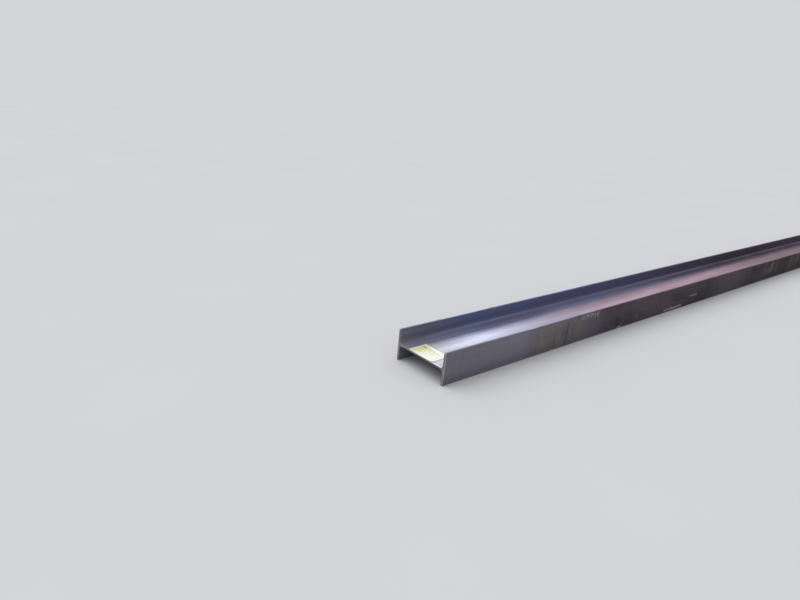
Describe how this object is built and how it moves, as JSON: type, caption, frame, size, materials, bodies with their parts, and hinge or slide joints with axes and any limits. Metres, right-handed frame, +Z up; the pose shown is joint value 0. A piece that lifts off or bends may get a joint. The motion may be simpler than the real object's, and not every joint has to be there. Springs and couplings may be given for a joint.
{
  "type": "steel h-beam",
  "caption": "Hot-rolled steel H-beam, 250 mm deep with 125 mm flanges, a 6 m stock length lying on its flange edges with its web level and a paper label at one sawn end.",
  "frame": {"origin": "on the ground under the middle of the beam: the middle of its length and of its depth, at the level of the lower flange toes", "axes": "+X along the length, away from the labelled end; +Y across the 250 mm depth of the section, square to the flanges; +Z up, square to the web"},
  "size_m": [6, 0.25, 0.125],
  "materials": {
    "rolled_steel": "hot-rolled steel under dark blue-grey mill scale, with violet and brown tints, light rust specks and bare bright edges",
    "label_paper": "semi-matt yellow paper with a pale border and plain olive ruled lines"
  },
  "bodies": {
    "root": {"h_beam": "rolled_steel", "mill_label": "label_paper"}
  },
  "joints": []
}
